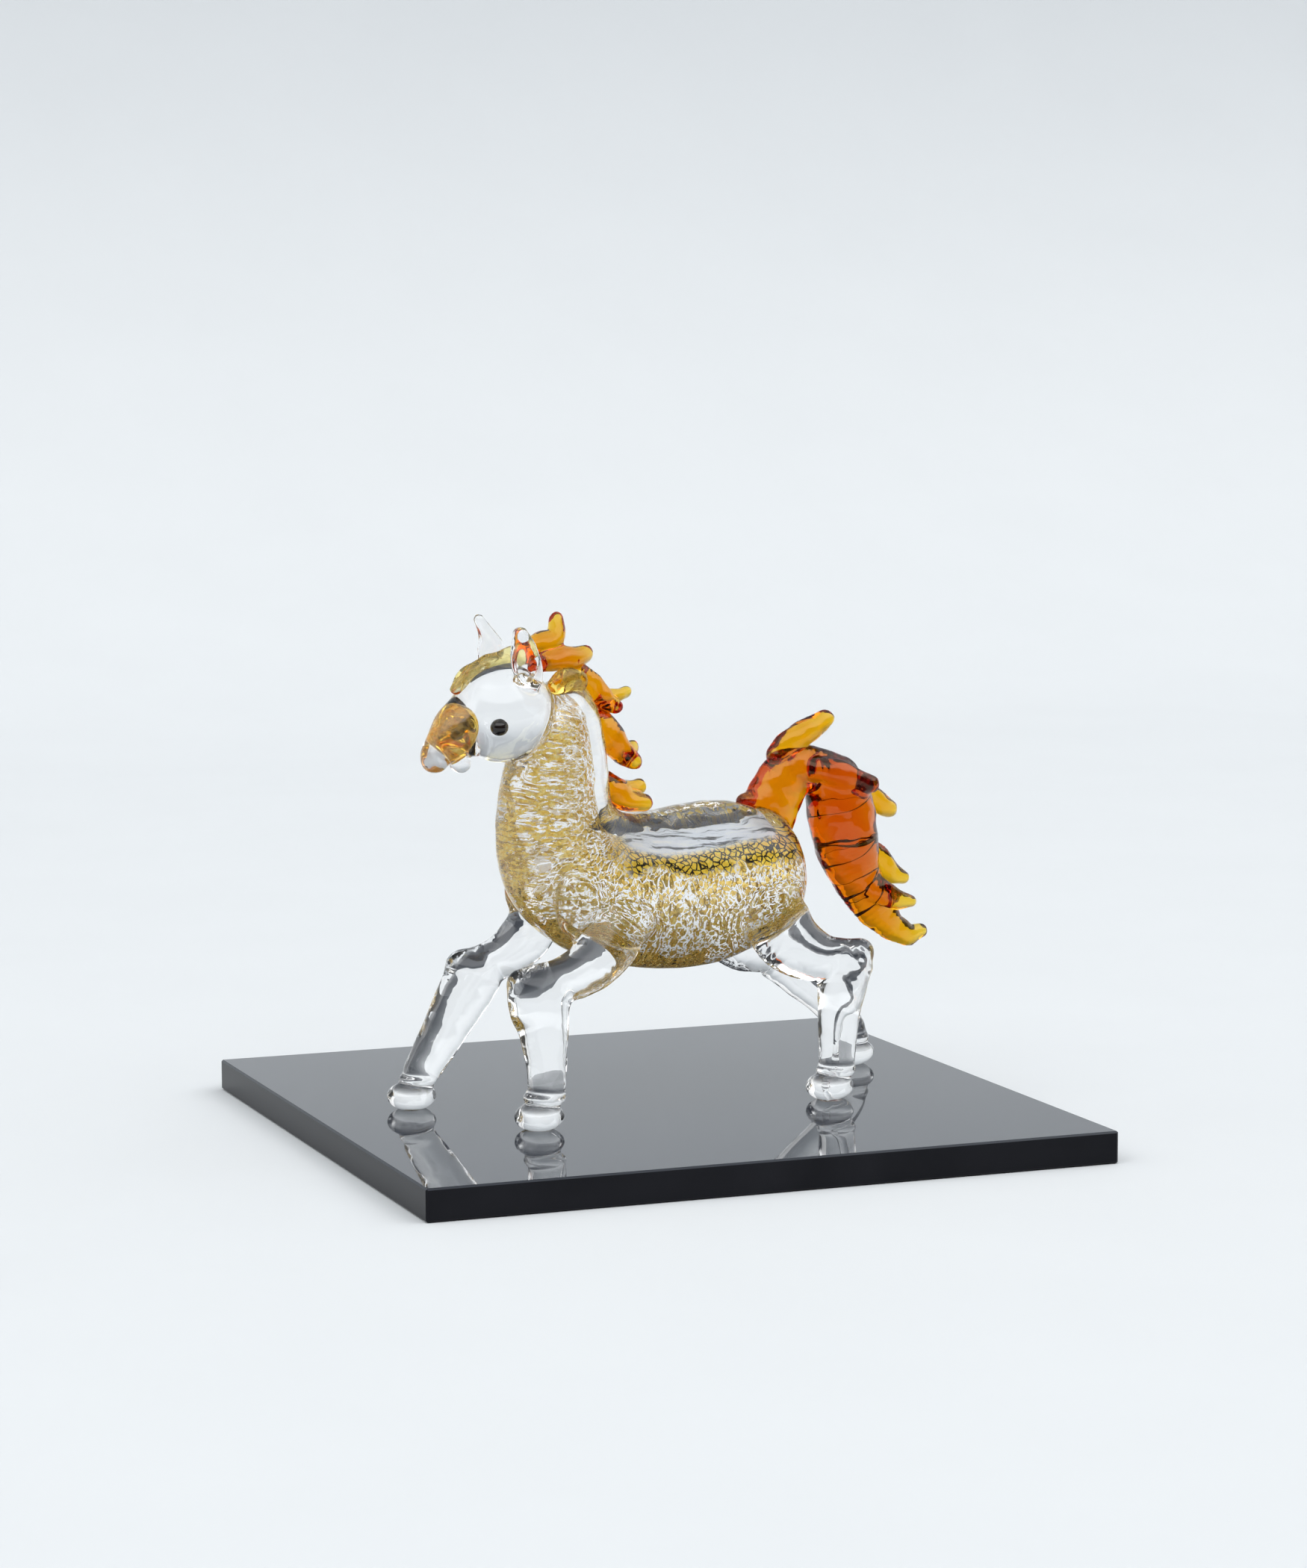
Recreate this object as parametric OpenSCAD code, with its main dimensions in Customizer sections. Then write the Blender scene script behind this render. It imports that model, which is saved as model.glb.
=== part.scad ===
// Lampworked glass horse with a gold-foil body and amber mane and tail, standing on a square display plate.
// The frame's origin is the middle of the plate's underside. The head points to -X and the left side to -Y.
// All lengths are in millimetres.

/* [Display plate] */
// Length of each side of the square plate
plate_side = 110; // [104:1:140]
// Thickness of the plate
plate_thickness = 5; // [3:0.5:8]
// Width of the small chamfer along every edge of the plate
plate_chamfer = 0.3; // [0.1:0.1:1]

/* [Place on the plate] */
// Angle between the horse's midline and the plate's side, head turned to the front
horse_yaw = 6.7; // [0:0.1:12]
// Distance from the plate's middle to the horse's midline, towards the front
horse_forward = 5.2; // [0:0.1:10]

/* [Cased body] */
// Clear glass over the foil at the chest and belly
chest_wall = 1.6; // [1.3:0.1:2.2]
// Clear glass over the foil on the two flanks
flank_wall = 1.6; // [1.3:0.1:2.2]
// Gap left between the foil core and its casing
core_gap = 0.06; // [0.05:0.01:0.1]
// Length of the rounded rump behind the last rib
rump_reach = 7.5; // [6:0.1:9]

/* [Head] */
// Radius of the glass ball that makes the head
head_radius = 7.8; // [7.4:0.1:8]
// Radius of each black eye bead
eye_radius = 1.3; // [1:0.1:1.6]
// How far each eye bead stands out of the head
eye_proud = 0.5; // [0.3:0.1:0.8]

/* [Hooves] */
// Half length of each hoof
hoof_length = 3.9; // [3.4:0.1:4.2]
// Half width of each hoof
hoof_width = 3.5; // [3:0.1:3.8]
// Half height of the full hoof bead, before its sole is flattened
hoof_height = 2.3; // [2.1:0.1:2.6]
// Height of the flat sole above the hoof bead's lowest point
sole_cut = 0.3; // [0.2:0.1:0.6]

/* [Hidden] */

clear_tint = [0.90, 0.93, 0.94, 0.45];
foil_tint = [0.80, 0.63, 0.25];
amber_tint = [0.85, 0.50, 0.08, 0.8];
deep_amber_tint = [0.72, 0.27, 0.04, 0.8];

// Sides of each ring and steps between two table rows
body_sides = 20;
body_steps = 2;
strand_sides = 12;
amber_sides = 10;
muzzle_sides = 16;
strand_steps = 3;
// Rings that round off each end of a strand, and the rump
cap_rings = 3;
rump_rings = 4;
// How far an end bulges when its neighbour covers it, as a share of its half size
butt_reach = 0.2;
head_facets = 48;
bead_facets = 24;
hoof_facets = 32;

// Ribs of the body from the head to the rump, in the horse's own frame.
// Each one is [back x, back z, breast x, breast z, half width, clear glass over the foil at the back].
BODY_RIBS = [
    [-20.5, 66.0, -24.2, 55.6, 5.7, 3.0],
    [-16.5, 67.6, -24.9, 54.6, 6.6, 3.4],
    [-13.6, 66.2, -25.6, 53.6, 7.2, 3.8],
    [-11.6, 62.8, -26.4, 52.2, 7.5, 4.2],
    [-10.4, 58.5, -27.0, 50.0, 7.6, 4.4],
    [-9.8, 54.0, -27.5, 47.0, 7.7, 4.4],
    [-9.6, 50.0, -27.7, 43.5, 8.0, 4.4],
    [-8.9, 47.6, -27.3, 39.0, 8.6, 4.5],
    [-7.2, 46.3, -25.8, 34.2, 9.2, 4.8],
    [-4.5, 45.8, -22.3, 29.4, 9.8, 5.0],
    [-1.0, 46.0, -16.2, 24.9, 10.3, 5.0],
    [3.0, 46.5, -8.0, 22.1, 10.5, 4.8],
    [7.5, 46.9, 1.0, 20.9, 10.5, 4.4],
    [12.0, 46.8, 9.5, 21.3, 10.4, 3.8],
    [16.3, 45.7, 18.2, 24.0, 9.8, 3.2]
];
// The ring at which the foil core starts, just clear of the head
core_first_ring = 5;

head_centre = [-27.2, 0, 62.7];
// Direction from the head's centre to the left eye
eye_direction = [-3.6, -6.4, -1.9];

// Strands are [x, y, z, half size in the plane of the bend, half size across it], in the horse's own frame.
MUZZLE_PATH = [
    [-32.4, 0, 61.1, 4.9, 4.8], [-34.4, 0, 60.3, 4.1, 4.3], [-36.4, 0, 58.5, 3.2, 3.5],
    [-38.5, 0, 56.8, 2.1, 2.6]
];
EAR_LEFT_PATH = [
    [-25.6, -6.5, 66.0, 1.0, 0.7], [-25.6, -6.6, 67.8, 2.0, 0.8], [-26.0, -6.0, 70.6, 2.4, 0.8],
    [-26.2, -5.4, 73.2, 1.9, 0.8], [-26.5, -5.1, 75.0, 1.1, 0.9]
];
EAR_RIGHT_PATH = [
    [-26.0, 6.2, 66.6, 1.6, 0.7], [-26.0, 5.8, 69.0, 2.4, 0.8], [-26.5, 5.3, 72.0, 2.3, 0.8],
    [-27.5, 5.0, 74.5, 1.3, 0.8], [-28.6, 5.0, 76.6, 0.8, 0.8]
];
FORELOCK_PATH = [
    [-34.9, 0, 66.4, 0.9, 0.9], [-33.2, 0, 68.2, 1.4, 1.3], [-30.6, -0.4, 69.8, 1.4, 1.5],
    [-26.8, -0.6, 71.0, 1.4, 1.6], [-23.4, -0.4, 71.8, 1.4, 1.5]
];
LOCK_1_PATHS = [
    [[-22.6, 0, 72.1, 1.4, 1.4], [-20.4, 0, 72.8, 1.8, 1.7], [-18.5, 0, 73.5, 1.6, 1.5],
     [-17.8, 0, 74.8, 1.25, 1.25], [-17.8, 0, 76.4, 1.2, 1.2]]
];
LOCK_2_PATHS = [
    [[-21.6, -1.0, 69.9, 1.4, 1.5], [-18.8, -1.2, 70.5, 1.9, 2.0], [-15.8, -0.6, 70.4, 1.9, 1.8],
     [-13.0, 0, 70.9, 1.4, 1.4]]
];
LOCK_3_PATHS = [
    [[-14.6, 0, 68.8, 1.4, 1.5], [-12.0, 0, 66.3, 1.8, 1.8], [-10.1, -0.6, 63.9, 1.7, 1.7],
     [-8.5, -1.4, 62.7, 1.25, 1.25]],
    [[-10.2, 0.3, 64.6, 1.2, 1.2], [-7.4, 1.0, 64.2, 1.0, 1.0], [-5.2, 1.5, 64.5, 1.05, 1.05]]
];
LOCK_4_PATHS = [
    [[-10.2, 0, 61.0, 1.5, 1.4], [-9.0, 0, 58.5, 2.2, 1.9], [-7.3, -0.5, 56.0, 1.9, 1.7],
     [-5.2, -1.3, 54.0, 1.35, 1.35]],
    [[-7.8, 0.3, 57.0, 1.3, 1.3], [-5.6, 1.0, 56.0, 1.2, 1.2], [-4.3, 1.5, 55.9, 1.25, 1.25]]
];
LOCK_5_PATHS = [
    [[-9.1, 0, 51.6, 1.1, 1.1], [-8.0, 0, 49.6, 2.0, 1.8], [-6.3, -0.5, 47.9, 1.8, 1.7],
     [-3.5, -1.3, 47.4, 1.4, 1.4]],
    [[-6.8, 0.3, 49.7, 1.4, 1.3], [-4.6, 1.0, 49.5, 1.2, 1.2], [-3.0, 1.5, 49.6, 1.3, 1.3]]
];
PATCH_PATH = [
    [-20.5, -4.3, 66.6, 1.2, 1.0], [-18.2, -4.0, 67.4, 2.0, 1.3], [-15.4, -3.0, 67.0, 1.6, 1.2]
];

FORE_LEFT_UPPER_PATH = [
    [-9.6, -9.6, 31.5, 3.2, 1.1], [-12.8, -9.6, 27.8, 4.6, 2.2], [-17.0, -10.0, 24.2, 4.2, 3.3],
    [-22.0, -10.6, 22.4, 3.5, 3.2], [-26.8, -11.0, 22.3, 2.8, 2.8], [-29.6, -11.0, 22.4, 2.2, 2.3]
];
FORE_LEFT_LOWER_PATH = [
    [-26.7, -11.1, 20.0, 5.0, 3.8], [-26.6, -11.2, 18.3, 4.8, 3.7], [-26.2, -11.6, 15.2, 4.0, 3.3],
    [-25.9, -12.0, 9.3, 3.1, 2.9], [-26.0, -12.2, 5.2, 2.9, 2.8]
];
FORE_RIGHT_UPPER_PATH = [
    [-15.6, 8.9, 34.0, 2.6, 0.9], [-17.0, 8.9, 30.2, 3.9, 1.6], [-18.7, 9.3, 26.3, 4.4, 2.6],
    [-22.2, 10.0, 23.4, 3.6, 3.1], [-26.0, 10.8, 22.1, 2.9, 2.9], [-29.0, 11.0, 22.3, 2.3, 2.3]
];
FORE_RIGHT_LOWER_PATH = [
    [-27.0, 11.1, 20.4, 4.6, 3.6], [-28.5, 11.3, 17.8, 4.4, 3.5], [-31.1, 11.8, 13.2, 3.8, 3.2],
    [-33.9, 12.1, 8.6, 3.2, 2.9], [-36.0, 12.3, 5.2, 2.8, 2.7]
];
HIND_LEFT_UPPER_PATH = [
    [15.4, -9.6, 32.2, 3.8, 1.1], [16.1, -9.4, 28.2, 5.6, 1.9], [18.2, -9.9, 24.9, 5.1, 3.0],
    [22.6, -10.8, 22.4, 3.9, 3.1], [27.0, -11.4, 22.4, 2.8, 2.6], [29.8, -11.5, 23.0, 2.0, 2.0]
];
HIND_LEFT_LOWER_PATH = [
    [28.9, -11.5, 21.2, 2.9, 2.6], [26.6, -11.7, 18.0, 4.0, 3.3], [25.6, -12.0, 13.8, 3.5, 3.0],
    [25.2, -12.2, 8.6, 3.0, 2.8], [25.1, -12.2, 5.0, 2.8, 2.7]
];
HIND_RIGHT_UPPER_PATH = [
    [13.6, 8.8, 29.0, 3.6, 1.2], [15.4, 8.9, 25.6, 4.6, 2.1], [19.0, 9.2, 22.2, 4.1, 3.2],
    [23.4, 10.2, 20.4, 3.4, 3.2], [27.4, 11.0, 19.6, 2.8, 2.8]
];
HIND_RIGHT_LOWER_PATH = [
    [27.4, 11.0, 18.4, 3.2, 3.0], [31.5, 11.3, 15.3, 3.0, 2.9], [36.7, 11.8, 11.3, 2.8, 2.8],
    [41.0, 12.2, 7.2, 2.8, 2.7], [42.2, 12.3, 5.0, 2.6, 2.6]
];

// Each hoof is [x, y] of the hoof bead, then [x, y, z, half length, half width, half height] of the pastern
// ring above it.
FORE_LEFT_HOOF = [[-27.3, -12.2], [-26.4, -12.2, 4.8, 3.3, 3.1, 1.5]];
FORE_RIGHT_HOOF = [[-37.4, 12.3], [-36.4, 12.3, 4.6, 2.9, 2.9, 1.2]];
HIND_LEFT_HOOF = [[23.8, -12.2], [24.9, -12.2, 4.6, 3.1, 3.0, 1.4]];
HIND_RIGHT_HOOF = [[42.3, 12.4], [42.2, 12.3, 4.6, 3.0, 2.9, 1.4]];

TAIL_ROOT_PATH = [
    [19.2, 0, 43.4, 4.8, 3.8], [20.6, 0, 46.6, 4.8, 4.0], [23.0, 0, 49.9, 4.4, 3.9],
    [26.6, 0, 51.2, 3.6, 3.6], [29.2, 0, 50.8, 3.0, 3.2]
];
TAIL_DROP_PATH = [
    [29.6, 0, 50.8, 2.9, 3.0], [31.8, 0, 48.4, 4.6, 3.7], [32.8, 0, 44.6, 5.6, 4.0],
    [33.7, 0, 39.7, 5.4, 3.9], [35.2, 0, 34.8, 4.5, 3.6], [37.8, 0, 29.8, 3.6, 3.1],
    [41.3, 0, 25.6, 2.7, 2.5], [45.2, 0, 23.0, 1.8, 1.8], [47.9, 0, 23.4, 1.2, 1.2]
];
PRONG_1_PATH = [
    [21.0, 0, 53.4, 1.7, 1.6], [23.4, 0, 55.2, 2.3, 1.9], [26.8, 0, 57.1, 2.1, 1.8],
    [30.0, 0, 58.8, 1.5, 1.5]
];
PRONG_2_PATH = [
    [26.6, -3.0, 51.4, 1.6, 1.5], [30.4, -3.8, 50.4, 2.1, 1.7], [34.0, -4.0, 49.0, 1.7, 1.5],
    [36.2, -4.0, 48.4, 1.35, 1.35]
];
PRONG_3_PATH = [
    [36.6, 2.4, 47.8, 1.8, 1.6], [39.6, 3.2, 46.0, 1.9, 1.7], [42.2, 3.6, 44.4, 1.8, 1.6],
    [44.2, 4.0, 43.2, 1.5, 1.5]
];
PRONG_4_PATH = [
    [38.8, 1.0, 38.4, 1.0, 1.0], [40.6, 1.0, 35.8, 1.9, 1.6], [42.6, 1.0, 33.4, 1.8, 1.5],
    [45.0, 1.0, 32.2, 1.2, 1.2]
];
PRONG_5_PATH = [
    [36.2, -2.6, 33.4, 1.0, 1.0], [37.8, -3.6, 31.2, 2.1, 1.4], [40.8, -4.0, 29.6, 1.7, 1.3],
    [43.6, -4.0, 29.1, 1.0, 1.0]
];

// Each bead is its centre, then its three half sizes.
NOSE_BEAD = [[-38.6, 0, 55.8], [2.0, 2.6, 2.0]];
CHIN_BEAD = [[-34.3, 0, 55.2], [1.6, 2.2, 1.6]];
TAIL_BEAD = [[15.5, -0.4, 46.7], [1.8, 1.5, 1.1]];

function unit(v) = v / norm(v);
function place_of(p) = [p[0], p[1], p[2]];
function held(i, list) = list[max(0, min(len(list) - 1, i))];

// A smooth curve through the points of a list, whatever each point holds
function spline_at(a, b, c, d, t) =
    0.5 * (2 * b + (c - a) * t + (2 * a - 5 * b + 4 * c - d) * t * t + (3 * b - a - 3 * c + d) * t * t * t);
function smooth(list, steps) = [
    for (i = [0:len(list) - 2], k = [0:steps - 1])
        spline_at(held(i - 1, list), list[i], list[i + 1], held(i + 2, list), k / steps),
    list[len(list) - 1]
];

// The points of one elliptical ring, from its centre and its two half axes
function ring(centre, axis_a, axis_b, sides) = [
    for (k = [0:sides - 1]) centre + cos(360 * k / sides) * axis_a + sin(360 * k / sides) * axis_b
];

// A closed skin over a list of rings, drawn to a point at each end
module loft(start_tip, rings, end_tip) {
    sides = len(rings[0]);
    last = len(rings) - 1;
    points = [start_tip, for (r = rings, p = r) p, end_tip];
    tip = len(points) - 1;
    start_fan = [for (k = [0:sides - 1]) [0, 1 + k, 1 + (k + 1) % sides]];
    end_fan = [for (k = [0:sides - 1]) [tip, 1 + last * sides + (k + 1) % sides, 1 + last * sides + k]];
    bands = [
        for (i = [0:last - 1], k = [0:sides - 1], half = [0, 1])
            let (a = 1 + i * sides + k, b = 1 + i * sides + (k + 1) % sides)
            half == 0 ? [a, a + sides, b + sides] : [a, b + sides, b]
    ];
    polyhedron(points, concat(start_fan, bands, end_fan));
}

// A bent rod of glass; each end bulges by its reach, a share of the smaller half size there
module strand(path, sides = strand_sides, root_reach = 1, tip_reach = 1) {
    p = smooth(path, strand_steps);
    last = len(p) - 1;
    function along(i) = unit(place_of(held(i + 1, p)) - place_of(held(i - 1, p)));
    function across(i) = unit([0, 1, 0] - along(i)[1] * along(i));
    function rib(i, shift, shrink) = ring(
        place_of(p[i]) + shift * along(i),
        p[i][3] * shrink * cross(across(i), along(i)),
        p[i][4] * shrink * across(i),
        sides
    );
    reach_a = root_reach * min(p[0][3], p[0][4]);
    reach_b = tip_reach * min(p[last][3], p[last][4]);
    cap_a = [for (j = [cap_rings - 1:-1:1]) let (q = 90 * j / cap_rings) rib(0, -reach_a * sin(q), cos(q))];
    cap_b = [for (j = [1:cap_rings - 1]) let (q = 90 * j / cap_rings) rib(last, reach_b * sin(q), cos(q))];
    loft(
        place_of(p[0]) - reach_a * along(0),
        concat(cap_a, [for (i = [0:last]) rib(i, 0, 1)], cap_b),
        place_of(p[last]) + reach_b * along(last)
    );
}

// Puts the horse's own frame on top of the plate
module on_plate() {
    translate([0, -horse_forward, plate_thickness]) rotate([0, 0, horse_yaw]) children();
}

body_ribs = smooth(BODY_RIBS, body_steps);
last_rib = body_ribs[len(body_ribs) - 1];

// Skins of the body: depth 0 is its outside and depth 1 the inside of its casing, each moved in by inset
function rib_up(rib) = unit([rib[0] - rib[2], 0, rib[1] - rib[3]]);
function rib_back(rib, depth, inset) = [rib[0], 0, rib[1]] - (depth * rib[5] + inset) * rib_up(rib);
function rib_front(rib, depth, inset) = [rib[2], 0, rib[3]] + (depth * chest_wall + inset) * rib_up(rib);
function rib_centre(rib, depth, inset) = (rib_back(rib, depth, inset) + rib_front(rib, depth, inset)) / 2;
function rib_ring(rib, depth, inset, shift = 0, shrink = 1) = ring(
    rib_centre(rib, depth, inset) + shift * cross([0, 1, 0], rib_up(rib)),
    shrink * (rib_back(rib, depth, inset) - rib_front(rib, depth, inset)) / 2,
    [0, -shrink * (rib[4] - depth * flank_wall - inset), 0],
    body_sides
);

// Rings from one rib to the rump, then the rump's last point
function rump_depth(depth, inset) = rump_reach - depth * chest_wall - inset;
function body_rings(first, depth, inset) = concat(
    [for (i = [first:len(body_ribs) - 1]) rib_ring(body_ribs[i], depth, inset)],
    [for (j = [1:rump_rings - 1])
        let (q = 90 * j / rump_rings)
        rib_ring(last_rib, depth, inset, rump_depth(depth, inset) * sin(q), cos(q))]
);
function rump_tip(depth, inset) =
    rib_centre(last_rib, depth, inset) + rump_depth(depth, inset) * cross([0, 1, 0], rib_up(last_rib));
function reversed(list) = [for (i = [len(list) - 1:-1:0]) list[i]];

module display_plate() {
    half = plate_side / 2;
    cut = plate_chamfer;
    function chamfered(w, h) = [
        [-w + cut, -h], [w - cut, -h], [w, -h + cut], [w, h - cut],
        [w - cut, h], [-w + cut, h], [-w, h - cut], [-w, -h + cut]
    ];
    color([0.03, 0.03, 0.035])
    translate([0, 0, plate_thickness / 2])
    intersection() {
        linear_extrude(height = plate_thickness, center = true) polygon(chamfered(half, half));
        rotate([90, 0, 0]) linear_extrude(height = plate_side, center = true)
            polygon(chamfered(half, plate_thickness / 2));
        rotate([90, 0, 90]) linear_extrude(height = plate_side, center = true)
            polygon(chamfered(half, plate_thickness / 2));
    }
}

// Clear glass around the foil: a deep cup whose mouth is sealed by the head
module body_casing() {
    color(clear_tint)
    on_plate()
    loft(
        rump_tip(1, 0),
        concat(reversed(body_rings(0, 1, 0)), body_rings(0, 0, 0)),
        rump_tip(0, 0)
    );
}

// The inner gather of glass, wrapped in crackled gold leaf
module foil_core() {
    color(foil_tint)
    on_plate()
    loft(
        rib_centre(body_ribs[core_first_ring], 1, core_gap),
        body_rings(core_first_ring, 1, core_gap),
        rump_tip(1, core_gap)
    );
}

module head_ball() {
    color(clear_tint)
    on_plate()
    translate(head_centre)
    sphere(r = head_radius, $fn = head_facets);
}

module muzzle() {
    color(clear_tint)
    on_plate()
    strand(MUZZLE_PATH, sides = muzzle_sides, root_reach = butt_reach);
}

module bead(shape, tint = clear_tint) {
    color(tint)
    on_plate()
    translate(shape[0])
    scale(shape[1])
    sphere(r = 1, $fn = bead_facets);
}

module nose_bead() {
    bead(NOSE_BEAD);
}

module chin_bead() {
    bead(CHIN_BEAD);
}

module eye(side) {
    direction = unit([eye_direction[0], side * eye_direction[1], eye_direction[2]]);
    color([0.02, 0.01, 0.01])
    on_plate()
    translate(head_centre + (head_radius + eye_proud - eye_radius) * direction)
    sphere(r = eye_radius, $fn = bead_facets);
}

module eye_left() {
    eye(1);
}

module eye_right() {
    eye(-1);
}

module clear_strand(path) {
    color(clear_tint) on_plate() strand(path);
}

// A lower leg, with the leg above it and the hoof below it covering its ends
module shank(path) {
    color(clear_tint) on_plate() strand(path, root_reach = butt_reach, tip_reach = butt_reach);
}

module amber_strands(paths, tint = amber_tint) {
    color(tint) on_plate() union() {
        for (path = paths) strand(path, sides = amber_sides);
    }
}

module ear_left() {
    clear_strand(EAR_LEFT_PATH);
}

module ear_right() {
    clear_strand(EAR_RIGHT_PATH);
}

module forelock() {
    amber_strands([FORELOCK_PATH]);
}

module mane_lock_1() {
    amber_strands(LOCK_1_PATHS);
}

module mane_lock_2() {
    amber_strands(LOCK_2_PATHS);
}

module mane_lock_3() {
    amber_strands(LOCK_3_PATHS);
}

module mane_lock_4() {
    amber_strands(LOCK_4_PATHS);
}

module mane_lock_5() {
    amber_strands(LOCK_5_PATHS);
}

module mane_patch() {
    amber_strands([PATCH_PATH]);
}

// A flat-soled hoof bead with the pastern ring above it; the block keeps what is above the plate
module hoof(shape) {
    bead = shape[0];
    collar = shape[1];
    block = 6 * hoof_length;
    color(clear_tint)
    on_plate()
    intersection() {
        union() {
            translate([bead[0], bead[1], hoof_height - sole_cut])
            scale([hoof_length, hoof_width, hoof_height])
            sphere(r = 1, $fn = hoof_facets);
            translate(place_of(collar))
            scale([collar[3], collar[4], collar[5]])
            sphere(r = 1, $fn = hoof_facets);
        }
        translate([bead[0] - block / 2, bead[1] - block / 2, 0])
        cube(block);
    }
}

module fore_left_upper() {
    clear_strand(FORE_LEFT_UPPER_PATH);
}

module fore_left_lower() {
    shank(FORE_LEFT_LOWER_PATH);
}

module fore_left_hoof() {
    hoof(FORE_LEFT_HOOF);
}

module fore_right_upper() {
    clear_strand(FORE_RIGHT_UPPER_PATH);
}

module fore_right_lower() {
    shank(FORE_RIGHT_LOWER_PATH);
}

module fore_right_hoof() {
    hoof(FORE_RIGHT_HOOF);
}

module hind_left_upper() {
    clear_strand(HIND_LEFT_UPPER_PATH);
}

module hind_left_lower() {
    shank(HIND_LEFT_LOWER_PATH);
}

module hind_left_hoof() {
    hoof(HIND_LEFT_HOOF);
}

module hind_right_upper() {
    clear_strand(HIND_RIGHT_UPPER_PATH);
}

module hind_right_lower() {
    shank(HIND_RIGHT_LOWER_PATH);
}

module hind_right_hoof() {
    hoof(HIND_RIGHT_HOOF);
}

module tail_root() {
    color(deep_amber_tint) on_plate() strand(TAIL_ROOT_PATH, root_reach = butt_reach, tip_reach = butt_reach);
}

module tail_drop() {
    color(deep_amber_tint) on_plate() strand(TAIL_DROP_PATH, root_reach = butt_reach);
}

module tail_bead() {
    bead(TAIL_BEAD, deep_amber_tint);
}

module tail_prong_1() {
    amber_strands([PRONG_1_PATH]);
}

module tail_prong_2() {
    amber_strands([PRONG_2_PATH], deep_amber_tint);
}

module tail_prong_3() {
    amber_strands([PRONG_3_PATH]);
}

module tail_prong_4() {
    amber_strands([PRONG_4_PATH]);
}

module tail_prong_5() {
    amber_strands([PRONG_5_PATH], deep_amber_tint);
}

display_plate();
body_casing();
foil_core();
head_ball();
muzzle();
nose_bead();
chin_bead();
eye_left();
eye_right();
ear_left();
ear_right();
forelock();
mane_lock_1();
mane_lock_2();
mane_lock_3();
mane_lock_4();
mane_lock_5();
mane_patch();
fore_left_upper();
fore_left_lower();
fore_left_hoof();
fore_right_upper();
fore_right_lower();
fore_right_hoof();
hind_left_upper();
hind_left_lower();
hind_left_hoof();
hind_right_upper();
hind_right_lower();
hind_right_hoof();
tail_root();
tail_drop();
tail_bead();
tail_prong_1();
tail_prong_2();
tail_prong_3();
tail_prong_4();
tail_prong_5();
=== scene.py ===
# Looks of a lampworked glass horse: one fused clear skin, gold leaf inside it, amber mane and tail.
import math

import bpy
import numpy as np
from mathutils import Matrix, Vector, noise


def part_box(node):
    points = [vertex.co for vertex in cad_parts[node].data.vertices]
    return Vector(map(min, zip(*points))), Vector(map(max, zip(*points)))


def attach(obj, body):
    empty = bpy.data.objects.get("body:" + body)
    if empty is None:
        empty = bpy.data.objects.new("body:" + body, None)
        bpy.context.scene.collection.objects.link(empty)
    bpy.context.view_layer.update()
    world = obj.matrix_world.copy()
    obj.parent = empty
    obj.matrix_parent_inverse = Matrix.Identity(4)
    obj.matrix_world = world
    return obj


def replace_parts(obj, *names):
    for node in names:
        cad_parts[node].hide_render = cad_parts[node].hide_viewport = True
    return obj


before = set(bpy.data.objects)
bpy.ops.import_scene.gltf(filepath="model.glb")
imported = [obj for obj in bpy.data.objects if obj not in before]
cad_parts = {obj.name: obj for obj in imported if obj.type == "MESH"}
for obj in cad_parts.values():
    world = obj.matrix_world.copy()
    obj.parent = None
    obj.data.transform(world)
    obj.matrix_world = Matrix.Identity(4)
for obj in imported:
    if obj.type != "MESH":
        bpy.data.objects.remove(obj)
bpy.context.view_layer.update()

# The noise functions start from the clock unless they are given a seed
NOISE_SEED = 11
noise.seed_set(NOISE_SEED)
MM = 0.001

# ------------------------------------------------------------------------------------------
# Shape tables, in millimetres, in the horse's own frame: origin on the plate, head to -X, left side to -Y

HORSE_YAW = math.radians(6.7)
HORSE_FORWARD = 5.2
PLATE_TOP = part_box("display_plate")[1].z / MM

# [back x, back z, breast x, breast z, half width, clear glass over the foil at the back]
BODY_RIBS = [
    [-20.5, 66.0, -24.2, 55.6, 5.7, 3.0], [-16.5, 67.6, -24.9, 54.6, 6.6, 3.4],
    [-13.6, 66.2, -25.6, 53.6, 7.2, 3.8], [-11.6, 62.8, -26.4, 52.2, 7.5, 4.2],
    [-10.4, 58.5, -27.0, 50.0, 7.6, 4.4], [-9.8, 54.0, -27.5, 47.0, 7.7, 4.4],
    [-9.6, 50.0, -27.7, 43.5, 8.0, 4.4], [-8.9, 47.6, -27.3, 39.0, 8.6, 4.5],
    [-7.2, 46.3, -25.8, 34.2, 9.2, 4.8], [-4.5, 45.8, -22.3, 29.4, 9.8, 5.0],
    [-1.0, 46.0, -16.2, 24.9, 10.3, 5.0], [3.0, 46.5, -8.0, 22.1, 10.5, 4.8],
    [7.5, 46.9, 1.0, 20.9, 10.5, 4.4], [12.0, 46.8, 9.5, 21.3, 10.4, 3.8],
    [16.3, 45.7, 18.2, 24.0, 9.8, 3.2],
]
# How much deeper than the casing's own clear cover the leaf lies at each rib: it dips under the saddle
LEAF_DIP = [0, 0, 0, 0, 0, 0, 0, 0.4, 1.2, 2.0, 2.6, 2.9, 2.9, 2.6, 1.8]
RUMP_REACH = 7.5
CHEST_WALL = 1.6
FLANK_WALL = 1.6
# How far the leaf's surface lies inside the clear glass around it, and in front of the head
CORE_GAP = 0.06
HEAD_GAP = 0.15

HEAD_CENTRE = [-27.2, 0, 62.7]
HEAD_RADIUS = 7.8
EYE_DIRECTION = [-3.6, -6.4, -1.9]
EYE_RADIUS = 1.3
EYE_PROUD = 0.5

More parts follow.
